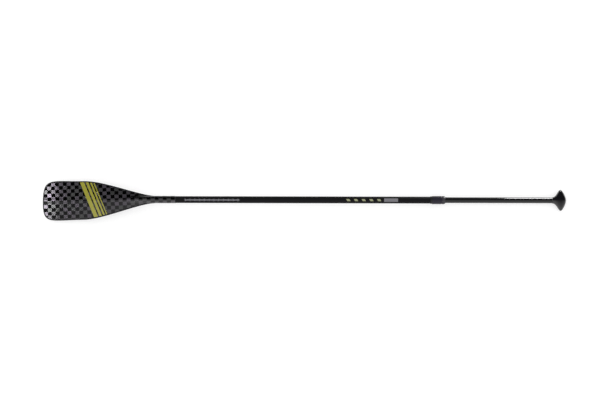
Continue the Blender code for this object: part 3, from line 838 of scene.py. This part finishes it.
def lower_shaft_finish():
    """Satin carbon with fine turning lines and printed marks."""
    paint = Paint("lower_shaft_carbon_finish")
    along, across = paint.cloth()
    over = braid(paint, along, across)
    base = paint.shaded(paint.colours.shaft, over.spread(0.8, 1.2))
    base = paint.mix(tick_marks(along, across), base, paint.colours.white)
    base = paint.mix(slanted_bars(along, across), base, paint.colours.pale_lime)
    base = paint.mix(plain_patch(along, across), base, paint.colours.grey)
    lines = (along * (math.tau / TURNING_PITCH)).sine() * TURNING_HEIGHT
    rough = over.spread(0.42, 0.47) + scuffs(paint, size=0.06, amount=0.1)
    return paint.finish(base, rough, lines, gloss=0.08)


def upper_shaft_finish():
    """Gloss carbon with a thin clear coat."""
    paint = Paint("upper_shaft_carbon_finish")
    over = braid(paint, *paint.cloth())
    base = paint.shaded(paint.colours.shaft, over.spread(0.8, 1.2))
    rough = over.spread(0.12, 0.16) + scuffs(paint, size=0.05, amount=0.06)
    return paint.finish(base, rough, gloss=0.4, coat=0.15, coat_roughness=0.05)


def moulded_finish(name, colour, roughness):
    """Moulded plastic: a fine grain, slight mottling and faint scuffs."""
    paint = Paint(name)
    mottle = paint.noise(size=0.006)
    grain = paint.noise(GRAIN_SIZE, detail=2.0)
    base = paint.shaded(colour, mottle.spread(0.8, 1.2))
    rough = mottle.spread(roughness - 0.06, roughness + 0.06) + scuffs(paint, size=0.02, amount=0.05)
    return paint.finish(base, rough, grain * GRAIN_HEIGHT, gloss=0.25)


def grip_finish(name, roughness):
    """Gloss black with a faint braid and mottling under a clear coat."""
    paint = Paint(name)
    over = braid(paint, *paint.cloth())
    mottle = paint.noise(size=0.010, detail=3.0)
    base = paint.shaded(paint.colours.grip, over.spread(0.75, 0.95) + mottle * 0.3)
    rough = mottle.spread(roughness, roughness + 0.04) + scuffs(paint, size=0.02, amount=0.08)
    return paint.finish(base, rough, coat=0.5, coat_roughness=0.03)


def foam_finish(name, colour):
    """Closed-cell foam: small bubbles whose hollows are darkened with painted shade."""
    paint = Paint(name)
    cells = paint.node("ShaderNodeTexVoronoi", {"Vector": paint.place(), "Scale": FOAM_CELLS_PER_METRE})
    tint = paint.noise(size=0.02, detail=3.0)
    # darker towards each cell's middle, where the bump makes the hollow: painted shade
    base = paint.shaded(colour, cells.spread(0.75, 0.95) + tint * 0.15)
    return paint.finish(base, roughness=0.85, height=cells * 0.0002)


def rubber_finish(name, colour):
    """Soft rubber with a pale bloom."""
    paint = Paint(name)
    bloom = paint.noise(size=0.003)
    base = paint.shaded(colour, bloom.spread(0.8, 1.4))
    return paint.finish(base, bloom.spread(0.6, 0.8), height=bloom * 0.00002)


def steel_finish(name, colour):
    """Ground steel with grinding lines along the piece."""
    paint = Paint(name)
    lines = paint.noise(size=0.01, stretch=(1, 40, 40))
    base = paint.shaded(colour, lines.spread(0.85, 1.10))
    return paint.finish(base, lines.spread(0.22, 0.37), height=lines * 0.00001, metal=1.0)


# Blade


def share_at(station):
    """The outline's share where the blade's side passes a station."""
    low, high = 1.0, 2.0
    for halving in range(HALVINGS):
        share = (low + high) / 2
        if blade_rim(share).x < station:
            low = share
        else:
            high = share
    return (low + high) / 2


def column_share(step):
    """The outline's share at a column, with one column at the rail's end and the next just past its gap."""
    knots = (
        (0, 0.0),
        (HIP_COLUMN, 1.0),
        (RAIL_COLUMN, share_at(RAIL_END)),
        (RAIL_COLUMN + 1, share_at(RAIL_END + GLUE_GAP)),
        (NECK_COLUMN, 2.0),
        (BLADE_COLUMNS, 3.0),
    )
    for (start, low), (end, high) in zip(knots, knots[1:]):
        if step <= end:
            return low + (high - low) * (step - start) / (end - start)
    return knots[-1][1]


def skin_place(side):
    """Where the corners of one half of a blade skin lie. The last row runs down to the parting line."""
    rungs = [blade_rung(column_share(step)) for step in range(BLADE_COLUMNS + 1)]

    def place(column, row):
        centre, rim = rungs[column]
        reach = 1.0
        if rim.x < RAIL_END + GLUE_GAP / 2:
            reach -= (RAIL_WIDTH + GLUE_GAP) / (rim - centre).length
        elif row == BLADE_ROWS:
            return Vector((rim.x, rim.y, middle_height(rim.x) + side * SPLIT_HALF_GAP))
        share = math.sin(math.pi / 2 * min(row / (BLADE_ROWS - 1), 1))
        return blade_point(side, centre, rim, share * reach)

    return place


def build_skin(name, node, side, material):
    shape = warped_sheet(BLADE_COLUMNS, BLADE_ROWS, skin_place(side))
    show_shell(name, shape, node, side, material, blade_weave, SKIN_THICKNESS)


def rail_place():
    """Where the corners of half the edge rail lie: round its D-shaped section and over its inner face."""
    end_share = share_at(RAIL_END)
    last_turn = 2 * RAIL_TURNS

    def place(column, row):
        centre, rim = blade_rung(column / RAIL_COLUMNS * end_share)
        width = (rim - centre).length
        turn = math.pi * row / last_turn if row <= last_turn else 0
        side = POWER_SIDE if turn <= math.pi / 2 else BACK_SIDE
        share = 1 - RAIL_WIDTH * (1 - math.sin(turn)) / width
        flat = centre.lerp(rim, share)
        height = panel_height(side, centre, rim, share)
        return Vector((flat.x, flat.y, middle_height(flat.x) + side * height))

    return place


def build_rail():
    shape = warped_sheet(RAIL_COLUMNS, 2 * RAIL_TURNS + 1, rail_place())
    bmesh.ops.remove_doubles(shape, verts=shape.verts, dist=SAME_PLACE)
    close_ends(shape, [edge for edge in shape.edges if edge.verts[0].co.x > FAN_CENTRE])
    mirror_across(shape)
    unwrap(shape, flat_weave)
    material = moulded_finish("edge_rail_finish", (0.010, 0.010, 0.012), roughness=0.38)
    show_piece("edge_rail", shape, "blade_edge_rail", material)


def core_place():
    """Where the corners of half the foam core lie before it sinks, round its front, side and back."""
    end_share = share_at(CORE_END)
    last_row = 2 * CORE_ROWS + 1

    def place(column, row):
        centre, rim = blade_rung(column / CORE_COLUMNS * end_share)
        reach = 1 - (RAIL_WIDTH + 2 * GLUE_GAP) / (rim - centre).length
        side = POWER_SIDE if row <= CORE_ROWS else BACK_SIDE
        steps = min(row, last_row - row)
        return blade_point(side, centre, rim, math.sin(math.pi / 2 * steps / CORE_ROWS) * reach)

    return place


def sink(shape, depth):
    """Moves every face of a surface in by a depth."""
    shape.normal_update()
    moves = [(vertex, vertex.normal * depth * vertex.calc_shell_factor()) for vertex in shape.verts]
    for vertex, move in moves:
        vertex.co -= move


def build_core():
    """The foam core, as fine as the skins over it so that it stays under them."""
    shape = warped_sheet(CORE_COLUMNS, 2 * CORE_ROWS + 1, core_place())
    mirror_across(shape)
    sink(shape, SKIN_THICKNESS + GLUE_GAP)
    close_ends(shape, shape.edges)
    unwrap(shape, flat_weave)
    material = foam_finish("core_foam_finish", (0.62, 0.60, 0.52))
    show_piece("foam_core", shape, "blade_core", material)


# Shafts and lock


def tube_outline(start, end, radius, bore):
    return [(end, radius), (start, radius), (start, bore), (end, bore)]


def on_lock(outline):
    """An outline that starts at the nut's rear edge, moved along the shaft to the lock."""
    return [(NUT_AT + station, radius) for station, radius in outline]


def build_turned(name, node, outline, rounding, material):
    shape = turned_shape(outline)
    round_rings(shape, rounding)
    unwrap(shape, tube_weave(max(radius for station, radius in outline)))
    show_piece(name, shape, node, material)


def groove_cutter():
    """A bar along the underside of the upper shaft, for the key's groove."""
    start = UPPER_START - GROOVE_WIDTH
    end = NUT_AT + KEY_END + LENGTH_ADJUSTMENT + GLUE_GAP
    low = -2 * UPPER_RADIUS
    high = GROOVE_DEPTH - UPPER_RADIUS
    middle = Vector(((start + end) / 2, 0, (low + high) / 2))
    size = Vector((end - start, GROOVE_WIDTH, high - low))
    shape = bmesh.new()
    bmesh.ops.create_cube(shape, size=1, matrix=Matrix.LocRotScale(middle, None, size))
    return shape


def cut_shape(shape, cutter_shape):
    """A shape without what the cutter covers."""
    piece = placed("uncut", mesh_of("uncut", shape))
    cutter = placed("cutter", mesh_of("cutter", cutter_shape))
    boolean = piece.modifiers.new("Cut", "BOOLEAN")
    boolean.operation = "DIFFERENCE"
    boolean.solver = "EXACT"
    boolean.object = cutter
    graph = bpy.context.evaluated_depsgraph_get()
    left = bmesh.new()
    left.from_mesh(piece.evaluated_get(graph).to_mesh())
    for thing in (piece, cutter):
        bpy.data.objects.remove(thing)
    return left


def build_upper_shaft():
    shape = turned_shape(tube_outline(UPPER_START, UPPER_END, UPPER_RADIUS, UPPER_BORE))
    round_rings(shape, TUBE_ROUNDING)
    shape = cut_shape(shape, groove_cutter())
    unwrap(shape, tube_weave(UPPER_RADIUS))
    show_piece("upper_tube", shape, "upper_shaft", upper_shaft_finish())


def nut_outline():
    """The nut's outline from its rear edge, with many stations along the body for the flutes."""
    front = NUT_BODY_LENGTH - NUT_CHAMFER
    run = front - NUT_CHAMFER
    body = [(front - run * step / FLUTE_STATIONS, NUT_RADIUS) for step in range(FLUTE_STATIONS + 1)]
    return [
        (NUT_END, NUT_NOSE_RADIUS),
        (NUT_BODY_LENGTH, NUT_NOSE_RADIUS),
        (NUT_BODY_LENGTH, NUT_RADIUS - NUT_CHAMFER),
        *body,
        (0, NUT_RADIUS - NUT_CHAMFER),
        (0, THREAD_BORE),
        (FERRULE_REACH + GLUE_GAP, THREAD_BORE),
        (FERRULE_REACH + 2 * GLUE_GAP, NUT_POCKET),
        (NUT_WEB_AT, NUT_POCKET),
        (NUT_WEB_AT, NUT_MOUTH),
        (NUT_END, NUT_MOUTH),
    ]


def press_flutes(shape):
    """Presses shallow lengthwise flutes into the nut's body."""
    for vertex in shape.verts:
        radius = math.hypot(vertex.co.y, vertex.co.z)
        if radius < NUT_RADIUS - SAME_PLACE:
            continue
        station = vertex.co.x - NUT_AT
        from_end = min(station, NUT_BODY_LENGTH - station)
        depth = FLUTE_DEPTH * ease((from_end - FLUTE_SETBACK) / FLUTE_RUN_OUT)
        turn = math.atan2(vertex.co.y, vertex.co.z)
        hollow = depth * (1 - math.cos(FLUTE_COUNT * turn)) / 2
        vertex.co.yz = vertex.co.yz * (1 - hollow / radius)


def build_nut():
    shape = turned_shape(on_lock(nut_outline()), FLUTE_TURN_STEPS)
    round_rings(shape, LOCK_ROUNDING)
    press_flutes(shape)
    unwrap(shape, tube_weave(NUT_RADIUS))
    black = bpy.context.scene.paddle_colours.moulded
    show_piece("nut", shape, "twist_nut", moulded_finish("nut_finish", black, roughness=0.30))


def build_cap():
    outline = [
        (CAP_END, NUT_RADIUS - CAP_CHAMFER_DEPTH),
        (CAP_END - CAP_CHAMFER_LENGTH, NUT_RADIUS),
        (CAP_START + NUT_CHAMFER, NUT_RADIUS),
        (CAP_START, CAP_BORE + CAP_WALL / 2),
        (CAP_START, CAP_BORE),
        (CAP_FLOOR, CAP_BORE),
        (CAP_FLOOR, NUT_MOUTH),
        (CAP_END, NUT_MOUTH),
    ]
    material = moulded_finish("cap_finish", (0.040, 0.038, 0.044), roughness=0.26)
    build_turned("cap", "nut_cap", on_lock(outline), LOCK_ROUNDING, material)


def build_wiper():
    """The wiper is a ring with two lips that reach in to the upper shaft."""
    start = NUT_END + GLUE_GAP
    quarter = WIPER_WIDTH / 4
    end = start + WIPER_WIDTH
    outline = [
        (end, NUT_NOSE_RADIUS),
        (start, NUT_NOSE_RADIUS),
        (start, LOWER_BORE + WIPER_END_RELIEF),
        (start + quarter, LOWER_BORE),
        (start + 2 * quarter, LOWER_BORE + WIPER_LIP_HEIGHT),
        (start + 3 * quarter, LOWER_BORE),
        (end, LOWER_BORE + WIPER_END_RELIEF),
    ]
    material = rubber_finish("wiper_finish", (0.02, 0.02, 0.02))
    build_turned("wiper", "wiper_seal", on_lock(outline), WIPER_ROUNDING, material)


# Palm grip


def grip_place(side):
    """Where the corners of one half of a grip shell lie. The last row runs to the parting line."""

    def place(column, row):
        rim = grip_rim(2 * column / GRIP_COLUMNS)
        centre = Vector((min(rim.x, TOTAL_LENGTH - GRIP_LOBE_AT), 0))
        if row == GRIP_ROWS:
            return Vector((rim.x, rim.y, side * SPLIT_HALF_GAP))
        share = math.sin(math.pi / 2 * row / (GRIP_ROWS - 1))
        return grip_point(side, centre, rim, share)

    return place


def build_grip_shell(name, node, side, material):
    shape = warped_sheet(GRIP_COLUMNS, GRIP_ROWS, grip_place(side))
    show_shell(name, shape, node, side, material, flat_weave, GRIP_SHELL)


# Stage


def floor_finish():
    """A floor that keeps shadows but looks white to camera, metal and glass, and is clear from below."""
    paint = Paint("floor_finish")
    seen = paint.node("ShaderNodeLightPath", output="Is Camera Ray")
    for kind in ("Is Glossy Ray", "Is Transmission Ray"):
        seen = seen.greater(paint.node("ShaderNodeLightPath", output=kind))
    paint.finish((0.5, 0.5, 0.5), roughness=0.9, glow=(1, 1, 1), glow_strength=seen * FLOOR_GLOW)
    clear = paint.node("ShaderNodeBsdfTransparent")
    below = paint.node("ShaderNodeNewGeometry", output="Backfacing")
    shader = Wire(paint, paint.shader.outputs[0])
    mixed = paint.node("ShaderNodeMixShader", {0: below, 1: shader, 2: clear})
    paint.feed(paint.tree.nodes["Material Output"].inputs["Surface"], mixed)
    return paint.material


def build_floor():
    shape = bmesh.new()
    bmesh.ops.create_circle(shape, cap_ends=True, radius=FLOOR_RADIUS, segments=FLOOR_SIDES)
    floor = placed("floor", mesh_of("floor", shape))
    floor.data.materials.append(floor_finish())


def card_finish():
    """The card is graded from light over the near side to black over the far side."""
    paint = Paint("card_finish")
    y, z = paint.split(paint.place())[1:]
    half_turns = paint.math("ARCTAN2", y, z) / math.pi + 0.5
    glow = paint.node("ShaderNodeValToRGB", {"Fac": half_turns})
    stops = glow.socket.node.color_ramp.elements
    stops.remove(stops[1])
    for number, (degrees, grey) in enumerate(CARD_GREYS):
        place = degrees / 180 + 0.5
        stop = stops.new(place) if number else stops[0]
        stop.position = place
        stop.color = (grey, grey, grey, 1)
    return paint.finish((0, 0, 0), roughness=1.0, glow=glow, glow_strength=1.0)


def build_card(radius):
    """A curved card over the paddle, which the camera doesn't see but gloss and metal do."""
    first, last = (math.radians(CARD_GREYS[k][0]) for k in (0, -1))
    shape = bmesh.new()
    near = (radius * math.sin(first), radius * math.cos(first))
    ends = [shape.verts.new((x, *near)) for x in CARD_ENDS]
    edge = shape.edges.new(ends)
    bmesh.ops.spin(shape, geom=ends + [edge], angle=first - last, steps=CARD_STEPS, **SHAFT_LINE)
    card = placed("card", mesh_of("card", shape))
    card.data.materials.append(card_finish())
    card.visible_camera = False
    card.visible_diffuse = False


def add_lamp(name, place, target, size, power, on_matte=False):
    """A soft rectangular lamp that faces a point. It lights either matte surfaces or gloss and metal."""
    light = bpy.data.lights.new(name, "AREA")
    light.shape = "RECTANGLE"
    light.size, light.size_y = size
    light.energy = power
    lamp = placed(name, light)
    lamp.location = place
    lamp.rotation_euler = (Vector(target) - Vector(place)).to_track_quat("-Z", "Y").to_euler()
    lamp.visible_camera = False
    lamp.visible_diffuse = on_matte
    lamp.visible_glossy = not on_matte


def build_lamps(studio):
    add_lamp("fill_lamp", *FILL_LAMP, studio.fill_power, on_matte=True)
    add_lamp("tip_lamp", *TIP_LAMP, studio.tip_power)
    add_lamp("grip_lamp", *GRIP_LAMP, studio.grip_power)


def build_world(brightness):
    world = bpy.data.worlds.new("white_room")
    world.use_nodes = True
    background = world.node_tree.nodes["Background"]
    background.inputs["Color"].default_value = (1, 1, 1, 1)
    background.inputs["Strength"].default_value = brightness
    bpy.context.scene.world = world


def build_camera():
    """The camera looks almost straight down, leaning to the near side."""
    data = bpy.data.cameras.new("camera")
    data.lens = CAMERA_LENS
    camera = placed("camera", data)
    lean = Matrix.Rotation(CAMERA_LEAN, 4, "X")
    roll = Matrix.Rotation(CAMERA_ROLL, 4, "Z")
    back = Matrix.Translation((0, 0, CAMERA_DISTANCE))
    camera.matrix_world = Matrix.Translation(CAMERA_TARGET) @ lean @ roll @ back
    bpy.context.scene.camera = camera


# Operators


class PADDLE_OT_stage(bpy.types.Operator):
    """Lays the white floor and sets up the card, lamps, white room and camera"""

    bl_idname = "paddle.stage"
    bl_label = "Stage, lamps and camera"

    def execute(self, context):
        studio = context.scene.paddle_studio
        context.scene.view_settings.view_transform = "Standard"
        build_floor()
        build_card(studio.card_radius)
        build_lamps(studio)
        build_world(studio.surround)
        build_camera()
        return {"FINISHED"}


class PADDLE_OT_blade(bpy.types.Operator):
    """Models both carbon skins of the blade, the rail round its edge and its foam core"""

    bl_idname = "paddle.blade"
    bl_label = "Blade"

    def execute(self, context):
        power = blade_finish("blade_carbon_finish", roughness=0.20, striped=True)
        back = blade_finish("back_carbon_finish", roughness=0.28, striped=False)
        build_skin("power_skin", "blade_power_skin", POWER_SIDE, power)
        build_skin("back_skin", "blade_back_skin", BACK_SIDE, back)
        build_rail()
        build_core()
        return {"FINISHED"}


class PADDLE_OT_shafts(bpy.types.Operator):
    """Models the lower shaft and the upper shaft with its key groove"""

    bl_idname = "paddle.shafts"
    bl_label = "Shafts"

    def execute(self, context):
        outline = tube_outline(BLADE_LENGTH, LOWER_END, LOWER_RADIUS, LOWER_BORE)
        build_turned("lower_tube", "lower_shaft", outline, TUBE_ROUNDING, lower_shaft_finish())
        build_upper_shaft()
        return {"FINISHED"}


class PADDLE_OT_twist_lock(bpy.types.Operator):
    """Models the ferrule, the fluted nut, its cap and the wiper"""

    bl_idname = "paddle.twist_lock"
    bl_label = "Twist lock"

    def execute(self, context):
        outline = tube_outline(-FERRULE_LIP, FERRULE_REACH, FERRULE_RADIUS, FERRULE_BORE)
        material = moulded_finish("ferrule_finish", (0.014, 0.014, 0.016), roughness=0.4)
        build_turned("ferrule", "lock_ferrule", on_lock(outline), TUBE_ROUNDING, material)
        build_nut()
        build_cap()
        build_wiper()
        return {"FINISHED"}


class PADDLE_OT_grip(bpy.types.Operator):
    """Models both shells of the palm grip"""

    bl_idname = "paddle.grip"
    bl_label = "Palm grip"

    def execute(self, context):
        front = grip_finish("grip_front_finish", roughness=0.09)
        back = grip_finish("grip_back_finish", roughness=0.22)
        build_grip_shell("grip_front", "grip_front_shell", POWER_SIDE, front)
        build_grip_shell("grip_back", "grip_back_shell", BACK_SIDE, back)
        return {"FINISHED"}


class PADDLE_OT_inner_pieces(bpy.types.Operator):
    """Gives the pieces inside the paddle their finishes"""

    bl_idname = "paddle.inner_pieces"
    bl_label = "Inner pieces"

    def execute(self, context):
        repaint("shaft_plug", foam_finish("plug_foam_finish", (0.70, 0.68, 0.60)))
        repaint("grip_core", foam_finish("grip_foam_finish", (0.66, 0.64, 0.58)))
        repaint("split_collet", moulded_finish("collet_finish", (0.55, 0.55, 0.53), 0.42))
        repaint("thrust_ring", moulded_finish("thrust_ring_finish", (0.72, 0.72, 0.70), 0.38))
        repaint("guide_key", steel_finish("key_finish", (0.60, 0.60, 0.62)))
        repaint("end_plug", moulded_finish("end_plug_finish", (0.020, 0.020, 0.022), 0.48))
        repaint("grip_stub", moulded_finish("stub_finish", (0.025, 0.025, 0.025), 0.55))
        repaint("plug_seal", rubber_finish("seal_finish", (0.015, 0.015, 0.015)))
        return {"FINISHED"}


class PADDLE_PT_sidebar(bpy.types.Panel):
    """Lists the paddle's values and its building steps"""

    bl_idname = "PADDLE_PT_sidebar"
    bl_label = "Stand-up paddle"
    bl_space_type = "VIEW_3D"
    bl_region_type = "UI"
    bl_category = "Paddle"

    def draw(self, context):
        layout = self.layout
        for key, kind in GROUPS.items():
            box = layout.box()
            for name in kind.__annotations__:
                box.prop(getattr(context.scene, key), name)
        for step in STEPS:
            layout.operator(step.bl_idname)


GROUPS = {"paddle_weave": PaddleWeave, "paddle_colours": PaddleColours, "paddle_studio": PaddleStudio}
STEPS = (
    PADDLE_OT_stage, PADDLE_OT_blade, PADDLE_OT_shafts,
    PADDLE_OT_twist_lock, PADDLE_OT_grip, PADDLE_OT_inner_pieces,
)
CLASSES = (*GROUPS.values(), *STEPS, PADDLE_PT_sidebar)


def register():
    for made in CLASSES:
        bpy.utils.register_class(made)
    for name, group in GROUPS.items():
        setattr(bpy.types.Scene, name, PointerProperty(type=group))


def unregister():
    for name in GROUPS:
        delattr(bpy.types.Scene, name)
    for made in reversed(CLASSES):
        bpy.utils.unregister_class(made)


def main():
    register()
    bpy.ops.paddle.stage()
    bpy.ops.paddle.blade()
    bpy.ops.paddle.shafts()
    bpy.ops.paddle.twist_lock()
    bpy.ops.paddle.grip()
    bpy.ops.paddle.inner_pieces()


if __name__ == "__main__":
    main()
